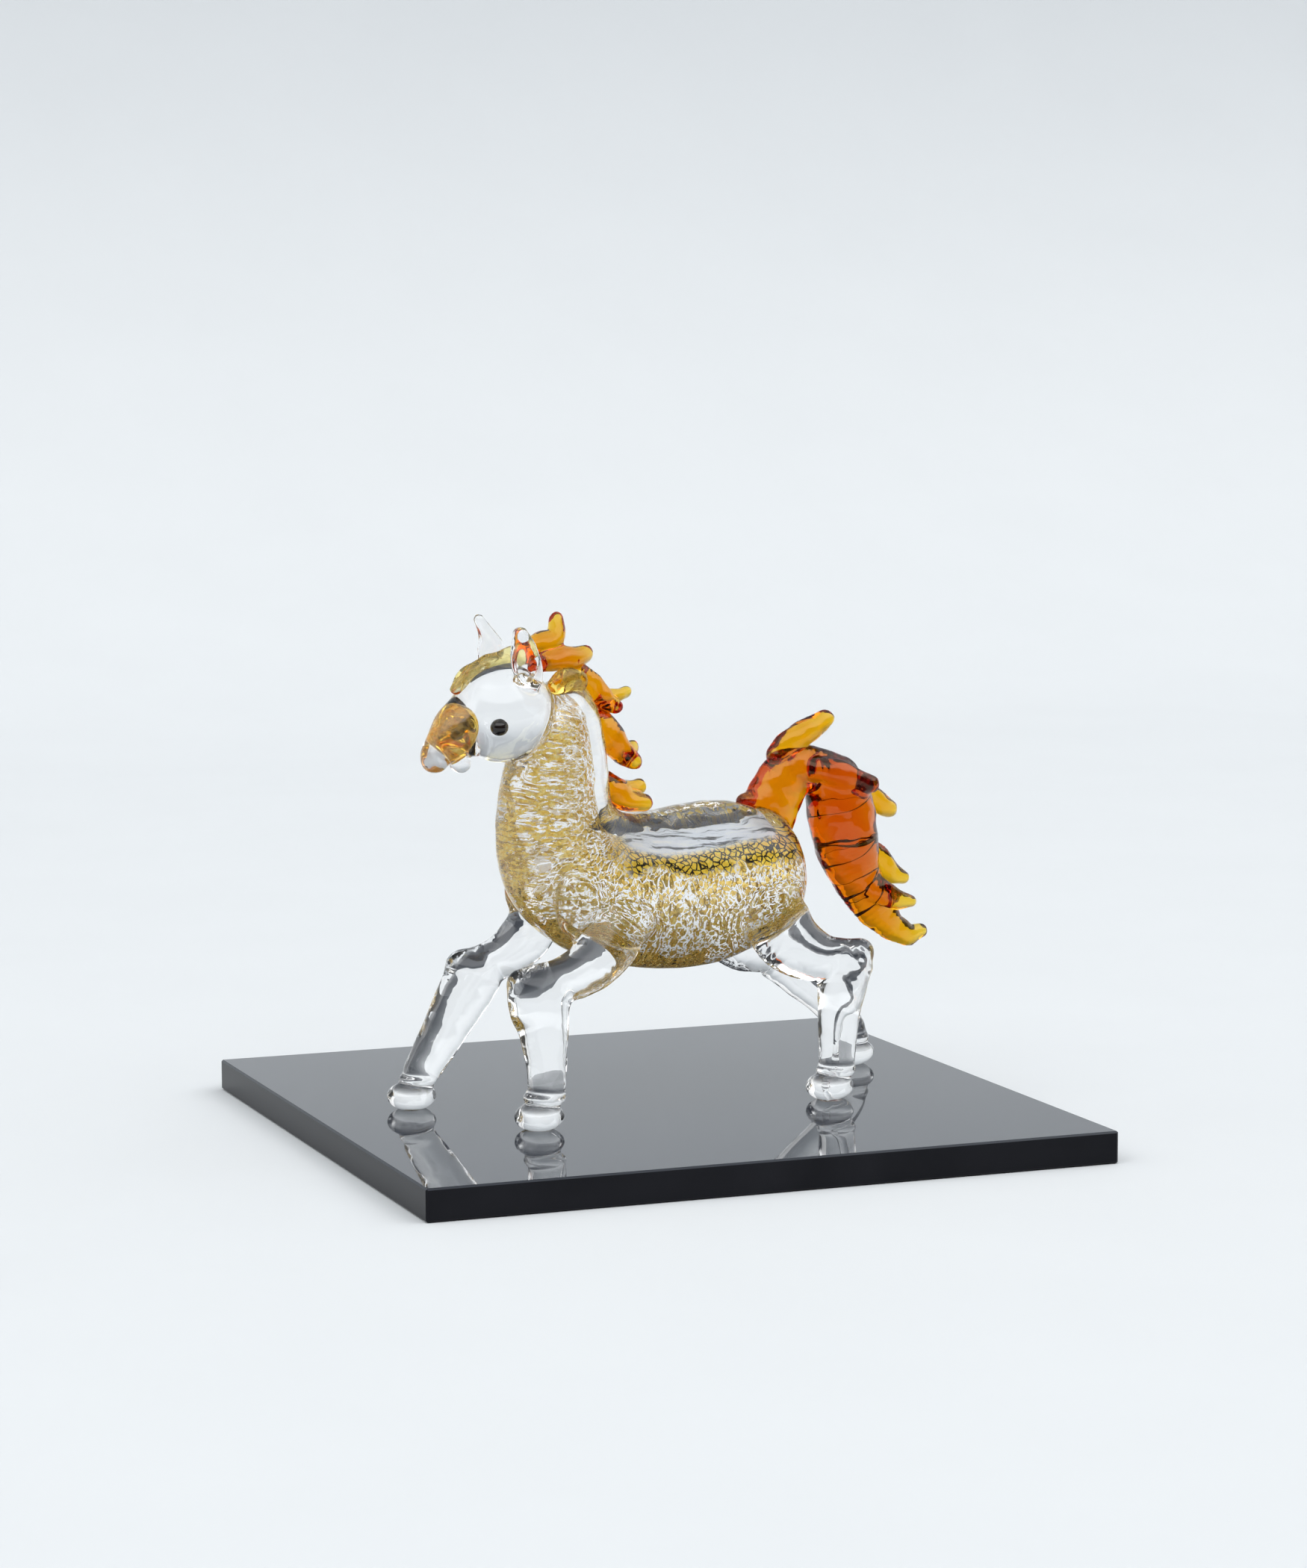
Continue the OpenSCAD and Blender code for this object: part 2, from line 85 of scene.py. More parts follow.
# Strands are [x, y, z, half size in the plane of the bend, half size across it]
MUZZLE = [
    [-32.4, 0, 61.1, 4.9, 4.8], [-34.4, 0, 60.3, 4.1, 4.3], [-36.4, 0, 58.5, 3.2, 3.5],
    [-38.5, 0, 56.8, 2.1, 2.6],
]
# Each ear is its strand and the hollow pressed into its face
EARS = {
    "left": (
        [[-25.6, -6.5, 66.0, 1.2, 0.8], [-25.6, -6.6, 67.8, 2.2, 0.9], [-26.0, -6.0, 70.6, 2.6, 0.9],
         [-26.2, -5.4, 73.2, 2.0, 0.9], [-26.5, -5.1, 75.0, 1.2, 1.0]],
        ([-26.4, -7.1, 70.4], [1.4, 0.8, 2.6]),
    ),
    "right": (
        [[-26.0, 6.2, 66.6, 1.6, 0.7], [-26.0, 5.8, 69.0, 2.4, 0.8], [-26.5, 5.3, 72.0, 2.3, 0.8],
         [-27.5, 5.0, 74.5, 1.3, 0.8], [-28.6, 5.0, 76.6, 0.8, 0.8]],
        ([-26.6, 6.5, 71.0], [1.3, 0.7, 2.6]),
    ),
}
# Shoulders and thighs: the gather of each leg pressed on to the trunk
LOBES = [
    [[-17.8, -8.3, 33.2], [4.6, 1.7, 5.6]], [[-18.6, 8.2, 34.0], [4.4, 1.6, 5.2]],
    [[15.6, -8.3, 32.2], [5.0, 1.7, 4.6]], [[15.2, 8.0, 31.0], [4.8, 1.6, 4.6]],
]
FORELOCK = [
    [-34.9, 0, 66.4, 0.9, 0.9], [-33.2, 0, 68.2, 1.4, 1.3], [-30.6, -0.4, 69.8, 1.4, 1.5],
    [-26.8, -0.6, 71.0, 1.4, 1.6], [-23.4, -0.4, 71.8, 1.4, 1.5],
]
LOCKS = {
    1: [
        [[-22.6, 0, 72.1, 1.4, 1.4], [-20.4, 0, 72.8, 1.8, 1.7], [-18.5, 0, 73.5, 1.6, 1.5],
         [-17.8, 0, 74.8, 1.25, 1.25], [-17.8, 0, 76.4, 1.2, 1.2]],
    ],
    2: [
        [[-21.6, -1.0, 69.9, 1.4, 1.5], [-18.8, -1.2, 70.5, 1.9, 2.0], [-15.8, -0.6, 70.4, 1.9, 1.8],
         [-13.0, 0, 70.9, 1.4, 1.4]],
    ],
    3: [
        [[-14.6, 0, 68.8, 1.4, 1.5], [-12.0, 0, 66.3, 1.8, 1.8], [-10.1, -0.6, 63.9, 1.7, 1.7],
         [-8.5, -1.4, 62.7, 1.25, 1.25]],
        [[-10.2, 0.3, 64.6, 1.2, 1.2], [-7.4, 1.0, 64.2, 1.0, 1.0], [-5.2, 1.5, 64.5, 1.05, 1.05]],
    ],
    4: [
        [[-10.2, 0, 61.0, 1.5, 1.4], [-9.0, 0, 58.5, 2.2, 1.9], [-7.3, -0.5, 56.0, 1.9, 1.7],
         [-5.2, -1.3, 54.0, 1.35, 1.35]],
        [[-7.8, 0.3, 57.0, 1.3, 1.3], [-5.6, 1.0, 56.0, 1.2, 1.2], [-4.3, 1.5, 55.9, 1.25, 1.25]],
    ],
    5: [
        [[-9.1, 0, 51.6, 1.1, 1.1], [-8.0, 0, 49.6, 2.0, 1.8], [-6.3, -0.5, 47.9, 1.8, 1.7],
         [-3.5, -1.3, 47.4, 1.4, 1.4]],
        [[-6.8, 0.3, 49.7, 1.4, 1.3], [-4.6, 1.0, 49.5, 1.2, 1.2], [-3.0, 1.5, 49.6, 1.3, 1.3]],
    ],
}
MANE_PATCH = [[-20.5, -4.3, 66.6, 1.2, 1.0], [-18.2, -4.0, 67.4, 2.0, 1.3], [-15.4, -3.0, 67.0, 1.6, 1.2]]

# Each leg is its upper strand, its lower strand, the hoof bead's [x, y] and the pastern ring
LEGS = {
    "fore_left": [
        [[-9.6, -9.6, 31.5, 3.2, 1.1], [-12.8, -9.6, 27.8, 4.6, 2.2], [-17.0, -10.0, 24.2, 4.2, 3.3],
         [-22.0, -10.6, 22.4, 3.5, 3.2], [-26.8, -11.0, 22.3, 2.8, 2.8], [-29.6, -11.0, 22.4, 2.2, 2.3]],
        [[-26.7, -11.1, 20.0, 5.0, 3.8], [-26.6, -11.2, 18.3, 4.8, 3.7], [-26.2, -11.6, 15.2, 4.0, 3.3],
         [-25.9, -12.0, 9.3, 3.1, 2.9], [-26.0, -12.2, 5.2, 2.9, 2.8]],
        [-27.3, -12.2], [-26.4, -12.2, 4.8, 3.3, 3.1, 1.5],
    ],
    "fore_right": [
        [[-15.6, 8.9, 34.0, 2.6, 0.9], [-17.0, 8.9, 30.2, 3.9, 1.6], [-18.7, 9.3, 26.3, 4.4, 2.6],
         [-22.2, 10.0, 23.4, 3.6, 3.1], [-26.0, 10.8, 22.1, 2.9, 2.9], [-29.0, 11.0, 22.3, 2.3, 2.3]],
        [[-27.0, 11.1, 20.4, 4.6, 3.6], [-28.5, 11.3, 17.8, 4.4, 3.5], [-31.1, 11.8, 13.2, 3.8, 3.2],
         [-33.9, 12.1, 8.6, 3.2, 2.9], [-36.0, 12.3, 5.2, 2.8, 2.7]],
        [-37.4, 12.3], [-36.4, 12.3, 4.6, 2.9, 2.9, 1.2],
    ],
    "hind_left": [
        [[15.4, -9.6, 32.2, 3.8, 1.1], [16.1, -9.4, 28.2, 5.6, 1.9], [18.2, -9.9, 24.9, 5.1, 3.0],
         [22.6, -10.8, 22.4, 3.9, 3.1], [27.0, -11.4, 22.4, 2.8, 2.6], [29.8, -11.5, 23.0, 2.0, 2.0]],
        [[28.9, -11.5, 21.2, 2.9, 2.6], [26.6, -11.7, 18.0, 4.0, 3.3], [25.6, -12.0, 13.8, 3.5, 3.0],
         [25.2, -12.2, 8.6, 3.0, 2.8], [25.1, -12.2, 5.0, 2.8, 2.7]],
        [23.8, -12.2], [24.9, -12.2, 4.6, 3.1, 3.0, 1.4],
    ],
    "hind_right": [
        [[13.6, 8.8, 29.0, 3.6, 1.2], [15.4, 8.9, 25.6, 4.6, 2.1], [19.0, 9.2, 22.2, 4.1, 3.2],
         [23.4, 10.2, 20.4, 3.4, 3.2], [27.4, 11.0, 19.6, 2.8, 2.8]],
        [[27.4, 11.0, 18.4, 3.2, 3.0], [31.5, 11.3, 15.3, 3.0, 2.9], [36.7, 11.8, 11.3, 2.8, 2.8],
         [41.0, 12.2, 7.2, 2.8, 2.7], [42.2, 12.3, 5.0, 2.6, 2.6]],
        [42.3, 12.4], [42.2, 12.3, 4.6, 3.0, 2.9, 1.4],
    ],
}
HOOF_HALVES = [3.9, 3.5, 2.3]
HOOF_MIDDLE = 2.0

TAIL_ROOT = [
    [19.2, 0, 43.4, 4.8, 3.1], [20.6, 0, 46.6, 4.8, 2.9], [23.0, 0, 49.9, 4.4, 2.9],
    [26.6, 0, 51.2, 3.6, 3.2], [29.2, 0, 50.8, 3.0, 3.2],
]
TAIL_DROP = [
    [29.6, 0, 50.8, 2.9, 3.2], [31.8, 0, 48.4, 4.6, 4.2], [32.8, 0, 44.6, 5.6, 4.8],
    [33.7, 0, 39.7, 5.4, 4.8], [35.2, 0, 34.8, 4.5, 4.2], [37.8, 0, 29.8, 3.6, 3.2],
    [41.3, 0, 25.6, 2.7, 2.3], [45.2, 0, 23.0, 1.8, 1.6], [47.9, 0, 23.4, 1.2, 1.1],
]
PRONGS = {
    1: [[21.0, 0, 53.4, 1.7, 1.6], [23.4, 0, 55.2, 2.3, 1.9], [26.8, 0, 57.1, 2.1, 1.8],
        [30.0, 0, 58.8, 1.5, 1.5]],
    2: [[26.6, -3.0, 51.4, 1.6, 1.5], [30.4, -3.8, 50.4, 2.1, 1.7], [34.0, -4.0, 49.0, 1.7, 1.5],
        [36.2, -4.0, 48.4, 1.35, 1.35]],
    3: [[36.6, 2.4, 47.8, 1.8, 1.6], [39.6, 3.2, 46.0, 1.9, 1.7], [42.2, 3.6, 44.4, 1.8, 1.6],
        [44.2, 4.0, 43.2, 1.5, 1.5]],
    4: [[38.8, 1.0, 38.4, 1.0, 1.0], [40.6, 1.0, 35.8, 1.9, 1.6], [42.6, 1.0, 33.4, 1.8, 1.5],
        [45.0, 1.0, 32.2, 1.2, 1.2]],
    5: [[36.2, -2.6, 33.4, 1.0, 1.0], [37.8, -3.6, 31.2, 2.1, 1.4], [40.8, -4.0, 29.6, 1.7, 1.3],
        [43.6, -4.0, 29.1, 1.0, 1.0]],
}
# Dark rings inside the drop, painted shade as dark bands across it: height, half thickness, tilt, and how far
# out they lie, as a share of the drop's half size
TAIL_SHADE_RINGS = [
    (44.8, 0.12, 0.10, 0.90), (38.9, 0.34, -0.10, 0.78), (37.2, 0.18, 0.22, 0.88),
    (32.2, 0.28, 0.30, 0.86), (29.6, 0.28, 0.34, 0.86),
]
# Amber drawn into the muzzle
MUZZLE_SWIRL = [
    [-33.7, 0.2, 61.0, 2.3, 2.8], [-35.2, -0.2, 59.7, 2.3, 2.6], [-36.4, 0.2, 58.3, 1.8, 2.3],
    [-35.2, -0.4, 56.9, 1.3, 1.9],
]
NOSE_BEAD = [[-38.6, 0, 55.8], [2.0, 2.6, 2.0]]
CHIN_BEAD = [[-34.3, 0, 55.2], [1.6, 2.2, 1.6]]
TAIL_BEAD = [[15.5, -0.4, 46.7], [1.8, 1.5, 1.1]]


def smooth(rows, steps):
    """A smooth curve through the rows of a table, whatever each row holds."""
    rows = np.array(rows, float)
    last = len(rows) - 1
    out = []
    for i in range(last):
        a, b, c, d = rows[max(i - 1, 0)], rows[i], rows[i + 1], rows[min(i + 2, last)]
        for t in np.arange(steps) / steps:
            out.append(0.5 * (2 * b + (c - a) * t + (2 * a - 5 * b + 4 * c - d) * t * t
                              + (3 * b - a - 3 * c + d) * t * t * t))
    return np.array(out + [rows[last]])


def unit(v):
    return v / np.linalg.norm(v)


def placed(points):
    """Points of the horse's own frame, in millimetres, as points of the row frame, in metres."""
    x, y, z = np.asarray(points, float).T
    c, s = math.cos(HORSE_YAW), math.sin(HORSE_YAW)
    return np.stack([c * x - s * y, s * x + c * y - HORSE_FORWARD, z + PLATE_TOP], 1) * MM


# ------------------------------------------------------------------------------------------
# Melted shapes: a grid of distances, below zero inside the glass, on which shapes flow into each other

FAR = 6.0
STRAND_STEPS = 5
BODY_STEPS = 5
BODY_BOX = (np.array([-33.0, -14.0, 15.0]), np.array([30.0, 14.0, 73.0]))
# Room left around a shape on the grid, beyond twice its fillet
ROOM = 0.5


def bulge(u, v, w, a, b, c):
    """About the distance to an ellipsoid with half sizes a, b and c."""
    near = np.sqrt((u / a) ** 2 + (v / b) ** 2 + (w / c) ** 2)
    steep = np.sqrt((u / a ** 2) ** 2 + (v / b ** 2) ** 2 + (w / c ** 2) ** 2)
    return near * (near - 1) / np.maximum(steep, 1e-6)


class Melt:
    """Shapes melted together. A fillet is the width over which two of them blend."""

    def __init__(self, low, high, step):
        self.step = step
        self.low = np.array(low, float) - 3 * step
        self.count = np.ceil((np.array(high, float) - self.low) / step).astype(int) + 4
        self.field = np.full(self.count, FAR, np.float32)

    def block(self, low, high):
        """The part of the grid between two corners, and the coordinates of its points."""
        a = np.clip(np.floor((low - self.low) / self.step).astype(int), 0, self.count)
        b = np.clip(np.ceil((high - self.low) / self.step).astype(int) + 1, 0, self.count)
        axes = [(self.low[k] + self.step * np.arange(a[k], b[k])).astype(np.float32) for k in range(3)]
        return tuple(slice(a[k], b[k]) for k in range(3)), np.meshgrid(*axes, indexing="ij")

    def add(self, where, distance, fillet):
        old = self.field[where]
        share = np.maximum(fillet - np.abs(old - distance), 0) / fillet
        self.field[where] = np.minimum(old, distance) - share * share * fillet / 4

    def lump(self, centre, halves, fillet):
        """The part of the grid that an ellipsoid can change, and the distance to it there."""
        centre, halves = np.array(centre, float), np.array(halves, float)
        room = halves + 2 * fillet + ROOM
        where, (x, y, z) = self.block(centre - room, centre + room)
        return where, bulge(x - centre[0], y - centre[1], z - centre[2], *halves)

    def ellipsoid(self, centre, halves, fillet):
        self.add(*self.lump(centre, halves, fillet), fillet)

    def dent(self, centre, halves, fillet):
        """Takes an ellipsoid out of what is there, with a rounded lip."""
        where, distance = self.lump(centre, halves, fillet)
        old = self.field[where]
        share = np.maximum(fillet - np.abs(old + distance), 0) / fillet
        self.field[where] = np.maximum(old, -distance) + share * share * fillet / 4

    def strand(self, path, fillet, root_reach=1.0, tip_reach=1.0):
        """A bent rod of glass; each end bulges by its reach, a share of the smaller half size there."""
        p = smooth(path, STRAND_STEPS)
        room = p[:, 3:].max() + 2 * fillet + ROOM
        where, (x, y, z) = self.block(p[:, :3].min(0) - room, p[:, :3].max(0) + room)
        best = np.full(x.shape, FAR, np.float32)
        last = len(p) - 2
        for i in range(last + 1):
            start, end = p[i], p[i + 1]
            length = np.linalg.norm(end[:3] - start[:3])
            along = (end[:3] - start[:3]) / length
            across = unit(np.array([0, 1, 0]) - along[1] * along)
            flat = np.cross(across, along)
            q = [x - start[0], y - start[1], z - start[2]]
            run = sum(q[k] * along[k] for k in range(3))
            t = np.clip(run / length, 0, 1)
            u = sum(q[k] * flat[k] for k in range(3))
            v = sum(q[k] * across[k] for k in range(3))
            w = run - t * length
            a = start[3] + t * (end[3] - start[3])
            b = start[4] + t * (end[4] - start[4])
            reach = np.minimum(a, b)
            if i == 0:
                reach = np.where(w < 0, reach * root_reach, reach)
            if i == last:
                reach = np.where(w > 0, reach * tip_reach, reach)
            best = np.minimum(best, bulge(u, v, w, a, b, reach))
        self.add(where, best, fillet)

    def body(self, depth, inset, fillet):
        """The neck and trunk: depth 0 is the outside and depth 1 the surface of the gold leaf."""
        ribs = smooth([[*rib, dip] for rib, dip in zip(BODY_RIBS, LEAF_DIP)], BODY_STEPS)
        up = ribs[:, 0:2] - ribs[:, 2:4]
        up /= np.linalg.norm(up, axis=1)[:, None]
        back = ribs[:, 0:2] - (depth * (ribs[:, 5] + ribs[:, 6]) + inset)[:, None] * up
        front = ribs[:, 2:4] + (depth * CHEST_WALL + inset) * up
        centre, half = (back + front) / 2, np.linalg.norm(back - front, axis=1) / 2
        width = ribs[:, 4] - depth * FLANK_WALL - inset
        along = np.stack([up[:, 1], -up[:, 0]], 1)
        where, (x, y, z) = self.block(*BODY_BOX)
        if not x.size:
            return
        x2, z2, y1 = x[:, 0, :], z[:, 0, :], y[0, :, 0]
        best = np.full(x.shape, FAR, np.float32)
        columns = np.swapaxes(best, 1, 2)

        def ahead(i):
            return (x2 - centre[i, 0]) * along[i, 0] + (z2 - centre[i, 1]) * along[i, 1]

        for i in range(len(ribs) - 1):
            g0, g1 = ahead(i), ahead(i + 1)
            hit = (g0 >= 0) & (g1 < 0)
            t = (g0[hit] / (g0[hit] - g1[hit]))[:, None]
            c = centre[i] + t * (centre[i + 1] - centre[i])
            e = up[i] + t * (up[i + 1] - up[i])
            s = ((x2[hit] - c[:, 0]) * e[:, 0] + (z2[hit] - c[:, 1]) * e[:, 1])[:, None]
            h = half[i] + t * (half[i + 1] - half[i])
            b = width[i] + t * (width[i + 1] - width[i])
            columns[hit] = np.minimum(columns[hit], bulge(s, y1[None, :], 0, h, b, 1))
        # The rump is half an ellipsoid behind the last rib
        w = ahead(-1)
        hit = w >= 0
        s = ((x2[hit] - centre[-1, 0]) * up[-1, 0] + (z2[hit] - centre[-1, 1]) * up[-1, 1])[:, None]
        reach = RUMP_REACH - depth * CHEST_WALL - inset
        d = bulge(s, y1[None, :], w[hit][:, None], half[-1], width[-1], reach)
        columns[hit] = np.minimum(columns[hit], d)
        self.add(where, best, fillet)

    def ring(self, centre, axis, radius, tube, fillet):
        room = radius + tube + 2 * fillet
        where, (x, y, z) = self.block(centre - room, centre + room)
        q = [x - centre[0], y - centre[1], z - centre[2]]
        off = sum(q[k] * axis[k] for k in range(3))
        out = np.sqrt(np.maximum(q[0] ** 2 + q[1] ** 2 + q[2] ** 2 - off ** 2, 0))
        self.add(where, np.sqrt((out - radius) ** 2 + off ** 2) - tube, fillet)

    def ends_in(self, other, overlap):
        """Stops this glass just inside another glass that it is fused to."""
        self.field = np.maximum(self.field, -(other.field + overlap))

    def skin(self):
        """Points and quads of the surface: a point in each cell it crosses, a quad on each grid edge."""
        inside = self.field < 0
        corners = [(i, j, k) for i in (0, 1) for j in (0, 1) for k in (0, 1)]
        size = np.array(self.field.shape) - 1
        filled = np.zeros(size, np.int8)
        for i, j, k in corners:
            filled += inside[i:i + size[0], j:j + size[1], k:k + size[2]]
        crossed = (filled > 0) & (filled < 8)
        cells = np.argwhere(crossed)
        number = np.full(crossed.shape, -1, np.int64)
        number[crossed] = np.arange(len(cells))
        total, hits = np.zeros((len(cells), 3)), np.zeros(len(cells))
        for one in corners:
            for axis in range(3):
                if one[axis]:
                    continue
                two = list(one)
                two[axis] = 1
                f0 = self.field[tuple((cells + one).T)]
                f1 = self.field[tuple((cells + two).T)]
                cut = (f0 < 0) != (f1 < 0)
                spot = (cells + one).astype(float)
                spot[:, axis] += np.where(cut, f0 / np.where(cut, f0 - f1, 1), 0)
                total += spot * cut[:, None]
                hits += cut
        points = self.low + self.step * total / hits[:, None]
        quads = []
        for axis in range(3):
            i, j = (axis + 1) % 3, (axis + 2) % 3
            low = np.take(inside, range(size[axis]), axis)
            high = np.take(inside, range(1, size[axis] + 1), axis)
            edges = np.argwhere(low != high)
            edges = edges[(edges[:, i] > 0) & (edges[:, j] > 0)]
            outward = low[tuple(edges.T)]
            around = []
            for a, b in ((0, 0), (1, 0), (1, 1), (0, 1)):
                cell = edges.copy()
                cell[:, i] -= a
                cell[:, j] -= b
                around.append(number[tuple(cell.T)])
            quad = np.stack(around, 1)
            quads.append(np.where(outward[:, None], quad, quad[:, ::-1]))
        return points, np.concatenate(quads)


# Smoothing rounds: most pieces, and the clear skin
SMOOTHING_ROUNDS = 6
SKIN_ROUNDS = 8
SMOOTHING_PUSHES = (0.55, -0.57)
# The waves of hand-worked glass, as length and amount, in millimetres
CLEAR_WAVES = (3.0, 0.10)
AMBER_WAVES = (2.4, 0.26)
# Pinches at the knees: radius, length of the folds and amount, in millimetres, and the reach in radii
PINCH_RADIUS, PINCH_LENGTH, PINCH_AMOUNT, PINCH_REACH = 2.6, 1.5, 0.45, 2.2


def relaxed(points, quads, rounds=SMOOTHING_ROUNDS):
    """The points after a smoothing that doesn't shrink them."""
    edges = np.concatenate([quads[:, [k, (k + 1) % 4]] for k in range(4)])
    a, b = np.concatenate([edges[:, 0], edges[:, 1]]), np.concatenate([edges[:, 1], edges[:, 0]])
    count = np.bincount(a, minlength=len(points))[:, None]
    for _ in range(rounds):
        for push in SMOOTHING_PUSHES:
            mean = np.stack([np.bincount(a, points[b, k], len(points)) for k in range(3)], 1) / count
            points = points + push * (mean - points)
    return points


def waved(points, length, amount):
    """The points after the small irregularities of hand work, with waves of about the given length."""
    return np.array([p + amount * np.array(noise.noise_vector(Vector(p) / length)) for p in points])


def pinched(points, spots):
    """The points after the glass was pinched at some spots, as at the knees."""
    points = points.copy()
    for spot in spots:
        away = np.linalg.norm(points - spot, axis=1)
        for i in np.flatnonzero(away < PINCH_REACH * PINCH_RADIUS):
            share = PINCH_AMOUNT * math.exp(-(away[i] / PINCH_RADIUS) ** 2)
            points[i] += share * np.array(noise.noise_vector(Vector(points[i]) / PINCH_LENGTH))
    return points


def mesh_piece(name, points, faces, material):
    mesh = bpy.data.meshes.new(name)
    mesh.from_pydata(placed(points).tolist(), [], np.asarray(faces).tolist())
    mesh.update()
    mesh.shade_smooth()
    mesh.materials.append(material.made)
    piece = bpy.data.objects.new(name, mesh)
    bpy.context.scene.collection.objects.link(piece)
    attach(piece, "horse")
    return piece


def melted_piece(name, melt, material, rounds=SMOOTHING_ROUNDS, waves=CLEAR_WAVES, pinches=()):
    points, quads = melt.skin()
    points = waved(pinched(relaxed(points, quads, rounds), pinches), *waves)
    return mesh_piece(name, points, quads, material)


# ------------------------------------------------------------------------------------------
# Materials. Noise scales are in waves per millimetre.

WHITE = (1, 1, 1, 1)
GLASS_IOR = 1.5
ACRYLIC_IOR = 1.49
# A Mix node has a socket of each name for each kind of value: these are its colour sockets
COLOR_LOW, COLOR_HIGH, COLOR_OUT = 6, 7, 2


class Nodes:
    """A node tree, and short ways to build it."""

    def __init__(self, tree):
        self.nodes, self.links = tree.nodes, tree.links
        self.nodes.clear()

    def feed(self, value, socket):
        """Links a socket to another one, or sets it to a number, vector or colour."""
        if isinstance(value, bpy.types.NodeSocket):
            self.links.new(value, socket)
        else:
            socket.default_value = value

    def add(self, kind, values=None, **settings):
        node = self.nodes.new("ShaderNode" + kind)
        for key, value in settings.items():
            setattr(node, key, value)
        for key, value in (values or {}).items():
            self.feed(value, node.inputs[key])
        return node

    def math(self, operation, *values):
        return self.add("Math", dict(enumerate(values)), operation=operation).outputs[0]

    def times(self, a, b):
        return self.math("MULTIPLY", a, b)

    def plus(self, a, b):
        return self.math("ADD", a, b)

    def part(self, vector, axis):
        """One coordinate of a vector."""
        return self.add("SeparateXYZ", {0: vector}).outputs[axis]

    def upward(self):
        """The height of the surface's own normal: 1 where it faces up, 0 where it is upright."""
        return self.part(self.add("NewGeometry").outputs["True Normal"], "Z")

    def place(self, scale=(1, 1, 1)):
        """Coordinates in millimetres of the object, stretched by a scale."""
        plain = self.add("TexCoord").outputs["Object"]
        stretch = self.add("Mapping", {"Vector": plain, "Scale": [s / MM for s in scale]})
        return stretch.outputs["Vector"]

    def cloud(self, scale, detail, place=None, **more):
        """Noise between 0 and 1."""
        values = {"Vector": place or self.place(), "Scale": scale, "Detail": detail, **more}
        return self.add("TexNoise", values).outputs["Fac"]

    def bent_place(self, scale, bend, bend_scale):
        """Coordinates in millimetres, bent by noise so that what is drawn with them comes out ragged."""
        wobble = self.add("TexNoise", {"Vector": self.place(), "Scale": bend_scale, "Detail": 3.0})
        centred = self.add("VectorMath", {0: wobble.outputs["Color"], 1: (0.5, 0.5, 0.5)},
                           operation="SUBTRACT")
        shift = self.add("VectorMath", {0: centred.outputs[0], "Scale": bend}, operation="SCALE")
        both = self.add("VectorMath", {0: self.place(scale), 1: shift.outputs[0]}, operation="ADD")
        return both.outputs[0]

    def ramp(self, source, *stops):
        """A colour for each value of the source, from stops of a value and a colour."""
        node = self.add("ValToRGB", {"Fac": source})
        elements = node.color_ramp.elements
        while len(elements) < len(stops):
            elements.new(0.5)
        for element, (value, color) in zip(elements, stops):
            element.position = value
            element.color = (*color, 1)
        return node.outputs["Color"]

    def step(self, value, low, high, to_low=0.0, to_high=1.0):
        """A value that goes smoothly from to_low to to_high as another one goes from low to high."""
        values = {"Value": value, "From Min": low, "From Max": high, "To Min": to_low, "To Max": to_high}
        return self.add("MapRange", values, interpolation_type="SMOOTHSTEP").outputs["Result"]

    def mix(self, factor, low, high):
        return self.add("Mix", {"Factor": factor, "A": low, "B": high}).outputs["Result"]

    def mix_colors(self, factor, low, high):
        """The low colour where the factor is 0 and the high one where it is 1."""
        values = {"Factor": factor, COLOR_LOW: low, COLOR_HIGH: high}
        return self.add("Mix", values, data_type="RGBA").outputs[COLOR_OUT]

    def bump(self, height, strength, depth):
        """A normal for a relief whose depth is in millimetres."""
        values = {"Height": height, "Strength": strength, "Distance": depth * MM}
        return self.add("Bump", values).outputs["Normal"]


class Material(Nodes):
    """A material with one Principled shader."""

    def __init__(self, name):
        self.made = bpy.data.materials.new(name)
        self.made.use_nodes = True
        super().__init__(self.made.node_tree)
        output, shader = self.add("OutputMaterial"), self.add("BsdfPrincipled")
        self.links.new(shader.outputs[0], output.inputs["Surface"])
        self.surface, self.ends = shader.inputs, output.inputs

    def look(self, values):
        """Sets or links sockets of the shader."""
        for key, value in values.items():
            self.feed(value, self.surface[key])


AMBER_TINT = (0.972, 0.835, 0.0)
AMBER_DENSITY = 1500.0
PALE_AMBER_DENSITY = 330.0
DEEP_AMBER_DENSITY = 1500.0
# Amber glass shines less than clear glass, and more warmly
AMBER_SPECULAR = 0.3
AMBER_SHINE = (1.0, 0.8, 0.55, 1)
# Amber streaks inside clear glass bend light less than amber in the open air
DRAWN_AMBER_IOR = 1.3


def glass_material(name, tint=None, density=0.0, ior=GLASS_IOR):
    """Flame-worked glass, slightly wavy. A tint with a density colours it by its thickness."""
    glass = Material(name)
    waves = glass.cloud(0.25, 2.0, Roughness=0.45)
    dull = glass.step(glass.cloud(0.9, 5.0), 0.55, 0.8, 0.0, 0.02)
    glass.look({"Base Color": WHITE, "Transmission Weight": 1, "IOR": ior, "Roughness": dull,
                "Normal": glass.bump(waves, 0.35, 0.25)})
    if tint:
        glass.look({"Specular IOR Level": AMBER_SPECULAR, "Specular Tint": AMBER_SHINE})
        volume = glass.add("VolumeAbsorption", {"Color": (*tint, 1), "Density": density})
        glass.links.new(volume.outputs[0], glass.ends["Volume"])
    return glass


